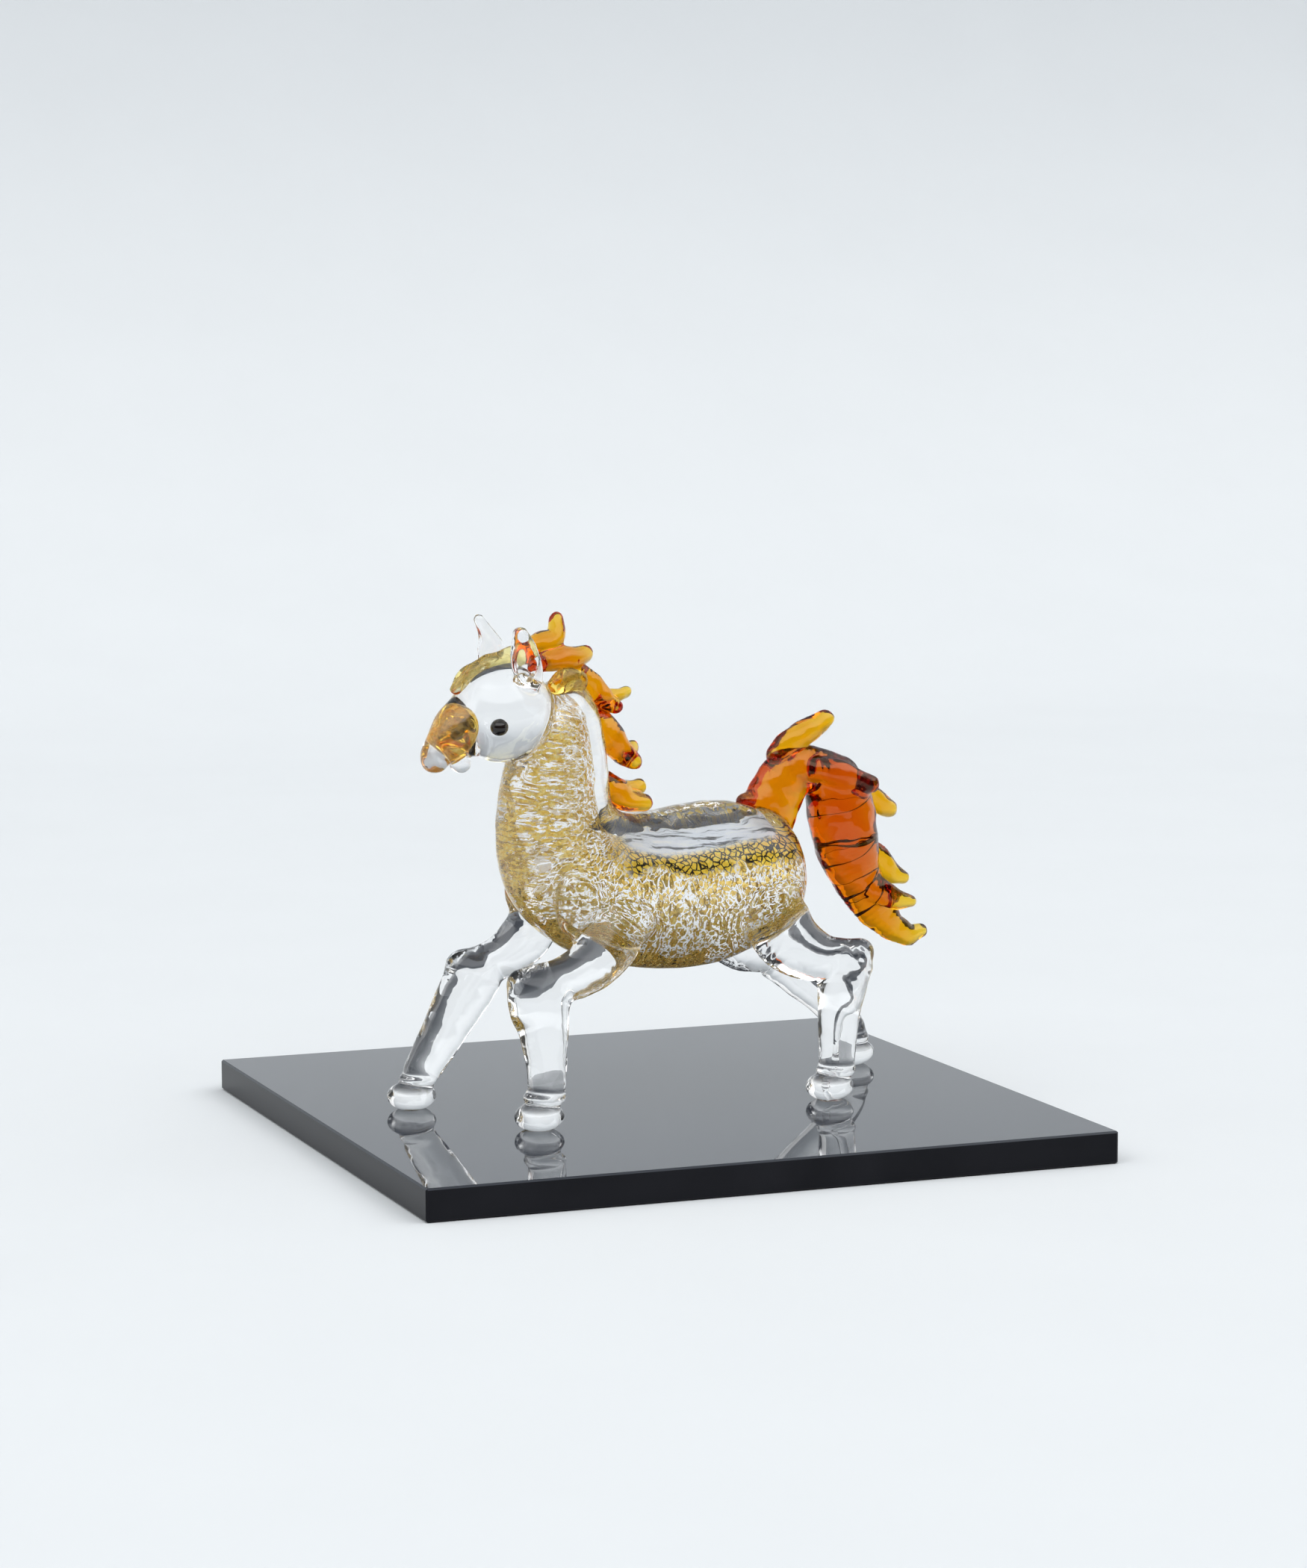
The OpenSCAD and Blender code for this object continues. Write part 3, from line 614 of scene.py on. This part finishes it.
def drawn_amber_material():
    """Amber streaks melted into the clear muzzle, a little cloudy."""
    glass = glass_material("drawn_amber_glass", AMBER_TINT, PALE_AMBER_DENSITY, DRAWN_AMBER_IOR)
    cloud = glass.cloud(0.8, 4.0, glass.place((1, 1, 2)), Distortion=1.5)
    color = glass.ramp(cloud, (0.35, (1.0, 0.66, 0.16)), (0.6, (1.0, 0.88, 0.5)))
    glass.look({"Base Color": color, "Transmission Weight": glass.step(cloud, 0.4, 0.6, 0.72, 0.94)})
    return glass


# Where the leaf changes, in millimetres of the row frame: along X from the neck's streaks to the trunk's
# flakes, and the whole band below the saddle along X and Z, whose foot wanders up and down
TRUNK_FRONT = (-21.0, -12.0)
BAND_FRONT = (-12.0, -7.0)
BAND_FOOT = (43.7, 45.0)
BAND_WANDER = 5.0
SHEEN_FRONT = (-10.0, -7.0)
# How steeply the normal must rise for the top of the leaf, which gets a painted sheen: a pale reflection with
# dark streaks
SHEEN_FACING = (0.87, 0.95)
# The distance from the middle of a crack to the edge of a flake, in millimetres
CRACK_EDGE = (0.065, 0.115)
# Torn leaf: stretch, noise scale, and the noise between which a tear turns into leaf
TRUNK_TEARS = ((1.0, 1.0, 0.8), 1.7, 0.61, 0.645)
NECK_TEARS = ((0.55, 0.55, 2.0), 1.15, 0.675, 0.71)
TEAR_ROUGHNESS = 0.65
PATCH_SHARE = 0.35
# The band's cracks are painted nearly black: painted shade in the cracks
CRACK_SHADE_COLOR = (0.012, 0.009, 0.005, 1)
LEAF_TONES = ((0.3, (0.84, 0.52, 0.08)), (0.5, (1.0, 0.74, 0.20)), (0.72, (1.0, 0.88, 0.45)))
BAND_TONES = ((0.3, (0.80, 0.48, 0.02)), (0.6, (1.0, 0.76, 0.09)), (0.8, (1.0, 0.88, 0.35)))
# Painted sheen on the top of the leaf: dark streaks and a pale blue-white reflection
PAINTED_SHEEN_TONES = ((0.40, (0.03, 0.035, 0.045)), (0.47, (0.75, 0.80, 0.88)), (0.7, (0.95, 0.97, 1.0)))
LEAF_METALLIC, SHEEN_METALLIC = 0.6, 0.2


def gold_leaf_material():
    """Torn and crackled gold leaf, with open glass between the flakes."""
    leaf = Material("gold_leaf")
    place = leaf.add("TexCoord").outputs["Object"]
    across = leaf.math("DIVIDE", leaf.part(place, "X"), MM)
    height = leaf.math("DIVIDE", leaf.part(place, "Z"), MM)
    patches = leaf.cloud(0.16, 2.0, Roughness=TEAR_ROUGHNESS)

    def kept(stretch, scale, low, high):
        """1 where the leaf is whole and 0 where it is torn."""
        tear = leaf.cloud(scale, 4.5, leaf.bent_place(stretch, 0.8, 0.6), Roughness=TEAR_ROUGHNESS)
        return leaf.step(leaf.plus(tear, leaf.times(patches, PATCH_SHARE)), low, high)

    # Trunk: small crackled flakes. Neck: flakes drawn out into level streaks. Band: whole, but crackled.
    flake = leaf.add("TexVoronoi", {"Vector": leaf.bent_place((1, 1, 1), 0.9, 0.8), "Scale": 1.0},
                     feature="DISTANCE_TO_EDGE")
    crackled = leaf.step(flake.outputs["Distance"], *CRACK_EDGE)
    wandering = leaf.plus(height, leaf.times(patches, BAND_WANDER))
    band = leaf.times(leaf.step(across, *BAND_FRONT), leaf.step(wandering, *BAND_FOOT))
    trunk = leaf.times(kept(*TRUNK_TEARS), crackled)
    torn = leaf.mix(leaf.step(across, *TRUNK_FRONT), kept(*NECK_TEARS), trunk)
    # Wrinkled metal, with painted shade nearly black in the cracks of the band. Its top, under the saddle, is
    # painted as a pale silver sheen with dark streaks, a painted reflection.
    tone = leaf.cloud(1.9, 3.0, Roughness=TEAR_ROUGHNESS)
    # Painted shade: the band's cracks are coloured nearly black
    band_color = leaf.mix_colors(crackled, CRACK_SHADE_COLOR, leaf.ramp(tone, *BAND_TONES))
    sides = leaf.mix_colors(band, leaf.ramp(tone, *LEAF_TONES), band_color)
    # Painted sheen on the upward-facing top of the leaf, from the saddle back
    sheen_top = leaf.times(leaf.step(leaf.upward(), *SHEEN_FACING), leaf.step(across, *SHEEN_FRONT))
    streaks = leaf.cloud(0.9, 3.0, leaf.bent_place((0.12, 0.8, 0.8), 0.5, 0.4), Roughness=TEAR_ROUGHNESS)
    leaf.look({
        "Alpha": leaf.math("MAXIMUM", torn, band),
        "Base Color": leaf.mix_colors(sheen_top, sides, leaf.ramp(streaks, *PAINTED_SHEEN_TONES)),
        "Metallic": leaf.math("MULTIPLY_ADD", sheen_top, SHEEN_METALLIC - LEAF_METALLIC, LEAF_METALLIC),
        "Roughness": leaf.step(tone, 0.3, 0.7, 0.55, 0.35),
        "Normal": leaf.bump(leaf.cloud(2.0, 3.0, Roughness=TEAR_ROUGHNESS), 0.9, 0.15),
    })
    return leaf


def shade_ring_material():
    """Nearly opaque brown glass of the rings of painted shade in the tail."""
    ring_shade = Material("brown_shade_ring_glass")
    color = ring_shade.ramp(ring_shade.cloud(1.2, 3.0), (0.3, (0.03, 0.008, 0.002)), (0.7, (0.12, 0.03, 0.005)))
    ring_shade.look({"Base Color": color, "Roughness": 0.25})
    return ring_shade


def eye_material():
    """Black glass with a hint of brown."""
    eye = Material("black_eye_glass")
    color = eye.ramp(eye.cloud(1.5, 3.0), (0.3, (0.004, 0.003, 0.003)), (0.7, (0.02, 0.012, 0.01)))
    eye.look({"Base Color": color, "Roughness": 0.08, "IOR": GLASS_IOR})
    return eye


# How steeply the normal must rise for the plate's face, against its sawn edges, which get a darker colour as
# painted shade
FACE_FACING = (0.3, 0.95)
EDGE_ROUGHNESS = 0.16
EDGE_SPECULAR, FACE_SPECULAR = 0.10, 0.60


def plate_material():
    """Polished black acrylic sheet with faint wiping marks."""
    acrylic = Material("black_acrylic")
    wipe = acrylic.cloud(0.05, 4.0, acrylic.place((1, 2.5, 1)), Distortion=0.6)
    # Painted shade: the upright edges are coloured darker than the lighter face
    shaded_edge_color = acrylic.ramp(wipe, (0.3, (0.006, 0.006, 0.008)), (0.7, (0.011, 0.011, 0.014)))
    lit_face_color = acrylic.ramp(wipe, (0.3, (0.012, 0.015, 0.025)), (0.7, (0.016, 0.019, 0.030)))
    # The cut edges get a darker colour than the face, painted shade, and are less polished
    face = acrylic.step(acrylic.upward(), *FACE_FACING)
    saw = acrylic.math("MULTIPLY_ADD", face, -EDGE_ROUGHNESS, EDGE_ROUGHNESS)
    polish = acrylic.step(wipe, 0.3, 0.7, 0.012, 0.03)
    specular = acrylic.math("MULTIPLY_ADD", face, FACE_SPECULAR - EDGE_SPECULAR, EDGE_SPECULAR)
    acrylic.look({
        "Base Color": acrylic.mix_colors(face, shaded_edge_color, lit_face_color),
        "Roughness": acrylic.plus(polish, saw),
        "Specular IOR Level": specular,
        "IOR": ACRYLIC_IOR,
        "Specular Tint": (0.92, 0.97, 1.0, 1),
    })
    return acrylic


# The heights between which the paper sweep gets darker, in metres
PAPER_FADE = (0.05, 0.45)


def paper_material():
    """Matt paper, a little darker up the sweep, further from the light."""
    paper = Material("studio_paper")
    grain = paper.cloud(0.02, 3.0)
    floor = paper.ramp(grain, (0.3, (0.694, 0.711, 0.726)), (0.7, (0.704, 0.721, 0.736)))
    wall = paper.ramp(grain, (0.3, (0.60, 0.625, 0.65)), (0.7, (0.61, 0.635, 0.66)))
    fade = paper.step(paper.part(paper.add("TexCoord").outputs["Object"], "Z"), *PAPER_FADE)
    paper.look({"Base Color": paper.mix_colors(fade, floor, wall), "Roughness": 0.9,
                "Specular IOR Level": 0.1})
    return paper


# ------------------------------------------------------------------------------------------
# Sub-parts of the horse, in millimetres

GRID = 0.3
FINE_GRID = 0.2
EYE_GRID = 0.1
SKIN_BOX = ([-42.5, -16, -0.5], [47, 16.5, 79])
LEAF_BOX = ([-29, -10, 20], [26, 10, 68])
AMBER_ROOM = 7.0
EYE_ROOM = 1.8
SOLE_GAP = 0.02
FUSED_OVERLAP = 0.3

BODY_FILLET, HEAD_FILLET, MUZZLE_FILLET, BEAD_FILLET = 1.0, 0.8, 1.2, 0.5
EAR_FILLET, CUP_FILLET, LOBE_FILLET = 0.8, 0.5, 0.7
UPPER_LEG_FILLET, LOWER_LEG_FILLET, COLLAR_FILLET, HOOF_FILLET = 1.6, 1.4, 0.5, 0.6
AMBER_FILLET, EYE_FILLET, LEAF_FILLET = 0.9, 0.1, 0.5
# Shares of their half sizes that the muzzle's root and the ends of the lower legs bulge by
MUZZLE_ROOT, SHANK_END = 0.4, 0.5
# The lip of clear glass around each eye: where it meets the head, its radius, its thickness and its fillet
LIP_SEAT, LIP_SPREAD, LIP_TUBE, LIP_FILLET = 0.1, 0.05, 0.12, 0.3


def eye_axis(side):
    return unit(np.array([EYE_DIRECTION[0], side * EYE_DIRECTION[1], EYE_DIRECTION[2]]))


def head_and_body(melt):
    melt.body(0, 0, BODY_FILLET)
    melt.ellipsoid(HEAD_CENTRE, [HEAD_RADIUS] * 3, HEAD_FILLET)


def clear_skin(material):
    """Everything made of clear glass, fused into one skin as the flame left it."""
    melt = Melt(*SKIN_BOX, GRID)
    head_and_body(melt)
    melt.strand(MUZZLE, MUZZLE_FILLET, root_reach=MUZZLE_ROOT)
    melt.ellipsoid(*NOSE_BEAD, BEAD_FILLET)
    melt.ellipsoid(*CHIN_BEAD, BEAD_FILLET)
    for path, cup in EARS.values():
        melt.strand(path, EAR_FILLET)
        melt.dent(*cup, CUP_FILLET)
    for lobe in LOBES:
        melt.ellipsoid(*lobe, LOBE_FILLET)
    rim = math.sqrt(HEAD_RADIUS ** 2 - (EYE_RADIUS + LIP_SEAT) ** 2)
    for side in (1, -1):
        axis = eye_axis(side)
        melt.ring(np.array(HEAD_CENTRE) + rim * axis, axis, EYE_RADIUS + LIP_SPREAD, LIP_TUBE, LIP_FILLET)
    for upper, lower, bead, collar in LEGS.values():
        melt.strand(upper, UPPER_LEG_FILLET)
        melt.strand(lower, LOWER_LEG_FILLET, root_reach=SHANK_END, tip_reach=SHANK_END)
        melt.ellipsoid(collar[:3], collar[3:], COLLAR_FILLET)
        melt.ellipsoid([*bead, HOOF_MIDDLE], HOOF_HALVES, HOOF_FILLET)
    # The soles are flat and rest on the plate
    heights = melt.low[2] + melt.step * np.arange(melt.count[2])
    melt.field = np.maximum(melt.field, SOLE_GAP - heights).astype(np.float32)
    knees = [np.array(lower[0][:3]) for _, lower, _, _ in LEGS.values()]
    piece = melted_piece("clear_glass_skin", melt, material, SKIN_ROUNDS, pinches=knees)
    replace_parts(piece, "body_casing", "head_ball", "muzzle", "nose_bead", "chin_bead",
                "ear_left", "ear_right",
                *[f"{leg}_{part}" for leg in LEGS for part in ("upper", "lower", "hoof")])


def gold_leaf(material):
    """The crackled leaf on the inner gather of glass, ending against the head."""
    melt = Melt(*LEAF_BOX, GRID)
    melt.body(1, CORE_GAP, LEAF_FILLET)
    where, (x, y, z) = melt.block(melt.low, melt.low + melt.step * melt.count)
    c = HEAD_CENTRE
    head = np.sqrt((x - c[0]) ** 2 + (y - c[1]) ** 2 + (z - c[2]) ** 2) - (HEAD_RADIUS + HEAD_GAP)
    melt.field[where] = np.maximum(melt.field[where], -head)
    points, quads = melt.skin()
    piece = mesh_piece("gold_leaf_core", relaxed(points, quads), quads, material)
    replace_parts(piece, "foil_core")


FULLER = 1.4


def fuller(paths):
    """Locks with their middles swollen towards the two flanks, and their ends as they are."""
    return [[[*row[:4], row[4] * (FULLER if 0 < i < len(path) - 1 else 1)] for i, row in enumerate(path)]
            for path in paths]


def amber_piece(name, paths, beads, material, nodes, fused=True):
    """A piece of amber glass, ending where it is fused to the clear glass."""
    points = np.array([row[:3] for path in paths for row in path])
    box = (points.min(0) - AMBER_ROOM, points.max(0) + AMBER_ROOM)
    melt = Melt(*box, FINE_GRID)
    for path in paths:
        melt.strand(path, AMBER_FILLET)
    for bead in beads:
        melt.ellipsoid(*bead, AMBER_FILLET)
    if fused:
        host = Melt(*box, FINE_GRID)
        head_and_body(host)
        melt.ends_in(host, FUSED_OVERLAP)
    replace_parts(melted_piece(name, melt, material, waves=AMBER_WAVES), *nodes)


# Steps around a ring of painted shade and around its tube, and how finely the drop's curve is searched for
# its height
SHADE_RING_STEPS, SHADE_RING_SIDES, SHADE_RING_SEARCH = 64, 8, 20
# The tube's mean thickness and its swelling, and the waves of the ring along the drop
SHADE_RING_TUBE, SHADE_RING_SWELL, SHADE_RING_WAVE = 0.75, 0.45, 0.25


def tail_shade_rings(material):
    """Thin dark rings just under the surface of the drop, painted shade as dark bands across it."""
    path = smooth(TAIL_DROP, SHADE_RING_SEARCH)
    around = np.linspace(0, 2 * math.pi, SHADE_RING_STEPS, False)
    about = np.linspace(0, 2 * math.pi, SHADE_RING_SIDES, False)
    across = np.array([0.0, 1.0, 0.0])
    points, faces = [], []
    for height, tube, tilt, share in TAIL_SHADE_RINGS:
        i = int(np.argmin(np.abs(path[:, 2] - height)))
        row, along = path[i], unit(path[i + 1, :3] - path[i - 1, :3])
        flat = np.cross(across, along)
        first = len(points)
        for q in around:
            swell = tube * (SHADE_RING_TUBE + SHADE_RING_SWELL * math.sin(2 * q + 5 * tilt))
            out = unit(row[4] * math.cos(q) * flat + row[3] * math.sin(q) * across)
            side = share * (row[3] * math.cos(q) * flat + row[4] * math.sin(q) * across)
            shift = tilt * row[3] * math.cos(q) + SHADE_RING_WAVE * math.sin(3 * q)
            middle = row[:3] + side + shift * along
            points += [middle + swell * (math.cos(w) * out + math.sin(w) * along) for w in about]
        for k in range(SHADE_RING_STEPS):
            a, b = first + k * SHADE_RING_SIDES, first + (k + 1) % SHADE_RING_STEPS * SHADE_RING_SIDES
            faces += [(a + j, b + j, b + (j + 1) % SHADE_RING_SIDES, a + (j + 1) % SHADE_RING_SIDES)
                      for j in range(SHADE_RING_SIDES)]
    mesh_piece("amber_tail_shade_rings", np.array(points), faces, material)


def eyes(material):
    for side, name in ((1, "left"), (-1, "right")):
        centre = np.array(HEAD_CENTRE) + (HEAD_RADIUS + EYE_PROUD - EYE_RADIUS) * eye_axis(side)
        melt = Melt(centre - EYE_ROOM, centre + EYE_ROOM, EYE_GRID)
        melt.ellipsoid(centre, [EYE_RADIUS] * 3, EYE_FILLET)
        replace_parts(melted_piece(f"glass_eye_{name}", melt, material), f"eye_{name}")


def mane_top(amber, pale_amber):
    amber_piece("amber_forelock", [FORELOCK], [], pale_amber, ["forelock"])
    amber_piece("amber_crest", fuller([*LOCKS[1], *LOCKS[2]]), [], amber,
                ["mane_lock_1", "mane_lock_2"])
    amber_piece("amber_patch", [MANE_PATCH], [], pale_amber, ["mane_patch"], fused=False)


def muzzle_swirl(drawn_amber):
    amber_piece("amber_muzzle", [MUZZLE_SWIRL], [], drawn_amber, [], fused=False)


def mane_locks(amber):
    for lock in (3, 4, 5):
        amber_piece(f"amber_lock_{lock}", fuller(LOCKS[lock]), [], amber,
                    [f"mane_lock_{lock}"])


def tail(amber, deep_amber):
    amber_piece("amber_tail", [TAIL_ROOT, TAIL_DROP, PRONGS[2], PRONGS[5]], [TAIL_BEAD], deep_amber,
                ["tail_root", "tail_drop", "tail_bead", "tail_prong_2", "tail_prong_5"])
    tail_shade_rings(shade_ring_material())
    for prong in (1, 3, 4):
        amber_piece(f"amber_prong_{prong}", [PRONGS[prong]], [], amber,
                    [f"tail_prong_{prong}"])


def display_plate():
    """The plate keeps its CAD mesh and gets its material."""
    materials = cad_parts["display_plate"].data.materials
    materials.clear()
    materials.append(plate_material().made)


# ------------------------------------------------------------------------------------------
# Studio, in metres

CAMERA_PLACE = (-0.22811, -0.58946, 0.12569)
CAMERA_AZIMUTH = math.radians(-21.245)
CAMERA_ELEVATION = math.radians(6.4275)
CAMERA_ROLL = math.radians(-0.1773)
CAMERA_LENS = 92.70
CAMERA_SENSOR = 36
CAMERA_NEAR = 0.01


def camera():
    """The camera of the photograph, as the plate's edges give it."""
    data = bpy.data.cameras.new("camera")
    data.lens = CAMERA_LENS
    data.sensor_width = CAMERA_SENSOR
    data.clip_start = CAMERA_NEAR
    data.dof.use_dof = False
    a, e = CAMERA_AZIMUTH, CAMERA_ELEVATION
    back = Vector((math.sin(a) * math.cos(e), -math.cos(a) * math.cos(e), math.sin(e)))
    right = Vector((0, 0, 1)).cross(back).normalized()
    up = back.cross(right)
    c, s = math.cos(CAMERA_ROLL), math.sin(CAMERA_ROLL)
    turned = Matrix((c * right + s * up, -s * right + c * up, back)).transposed().to_4x4()
    thing = bpy.data.objects.new("camera", data)
    thing.matrix_world = Matrix.Translation(CAMERA_PLACE) @ turned
    bpy.context.scene.collection.objects.link(thing)
    bpy.context.scene.camera = thing


# The paper lies just under the plate. It ends short in front, so that the glass has the dim room to
# reflect.
PAPER_FLOOR = -0.00005
PAPER_NEAR = -0.32
PAPER_BEND_START = 0.55
PAPER_BEND = 0.5
PAPER_TOP = 2.2
PAPER_HALF = 1.6
PAPER_STEPS = 24


def backdrop(material):
    """A pale paper floor that sweeps up behind the plate."""
    line = [(PAPER_NEAR, PAPER_FLOOR), (PAPER_BEND_START, PAPER_FLOOR)]
    for k in range(1, PAPER_STEPS + 1):
        q = math.pi / 2 * k / PAPER_STEPS
        line.append((PAPER_BEND_START + PAPER_BEND * math.sin(q),
                     PAPER_FLOOR + PAPER_BEND * (1 - math.cos(q))))
    line.append((PAPER_BEND_START + PAPER_BEND, PAPER_TOP))
    points = [(x, y, z) for y, z in line for x in (-PAPER_HALF, PAPER_HALF)]
    faces = [(2 * i, 2 * i + 1, 2 * i + 3, 2 * i + 2) for i in range(len(line) - 1)]
    mesh = bpy.data.meshes.new("paper_sweep")
    mesh.from_pydata(points, [], faces)
    mesh.shade_smooth()
    mesh.materials.append(material.made)
    thing = bpy.data.objects.new("paper_sweep", mesh)
    bpy.context.scene.collection.objects.link(thing)


TENT_LEVEL = 1.1
KEY_LEVEL = 2.6
ROOM_LEVEL = 0.05
LIGHT_COLOR = (0.97, 0.99, 1.0, 1)
# Parts of the direction to the light: towards the near side, below the tent's top and below the key light
NEAR_SIDE = (0.15, -0.2)
BELOW_TOP = (0.95, 0.78)
BELOW_KEY = (0.52, 0.36)


def studio_light():
    """A bright tent all round. On the near side, from the floor up: the dim room, the key light, the tent."""
    world = bpy.data.worlds.new("studio")
    bpy.context.scene.world = world
    world.use_nodes = True
    sky = Nodes(world.node_tree)
    way = sky.add("TexCoord").outputs["Generated"]
    rise = sky.part(way, "Z")
    near = sky.step(sky.part(way, "Y"), *NEAR_SIDE)
    key = sky.times(near, sky.step(rise, *BELOW_TOP))
    dim = sky.times(near, sky.step(rise, *BELOW_KEY))
    lit = sky.math("MULTIPLY_ADD", key, KEY_LEVEL - TENT_LEVEL, TENT_LEVEL)
    level = sky.math("MULTIPLY_ADD", dim, ROOM_LEVEL - KEY_LEVEL, lit)
    light = sky.add("Background", {"Color": LIGHT_COLOR, "Strength": level})
    sky.links.new(light.outputs[0], sky.add("OutputWorld").inputs["Surface"])


def render_settings():
    """Enough bounces for glass inside glass."""
    scene = bpy.context.scene
    scene.view_settings.view_transform = "Standard"
    scene.cycles.max_bounces = 24
    scene.cycles.transmission_bounces = 24
    scene.cycles.glossy_bounces = 10
    scene.cycles.diffuse_bounces = 4
    scene.cycles.transparent_max_bounces = 24
    scene.cycles.blur_glossy = 0.5


# ------------------------------------------------------------------------------------------

amber_glass = glass_material("amber_glass", AMBER_TINT, AMBER_DENSITY)
pale_amber_glass = glass_material("pale_amber_glass", AMBER_TINT, PALE_AMBER_DENSITY)
deep_amber_glass = glass_material("deep_amber_glass", AMBER_TINT, DEEP_AMBER_DENSITY)

clear_skin(glass_material("clear_glass"))
gold_leaf(gold_leaf_material())
eyes(eye_material())
mane_top(amber_glass, pale_amber_glass)
muzzle_swirl(drawn_amber_material())
mane_locks(amber_glass)
tail(amber_glass, deep_amber_glass)
display_plate()

camera()
backdrop(paper_material())
studio_light()
render_settings()

bpy.context.view_layer.update()
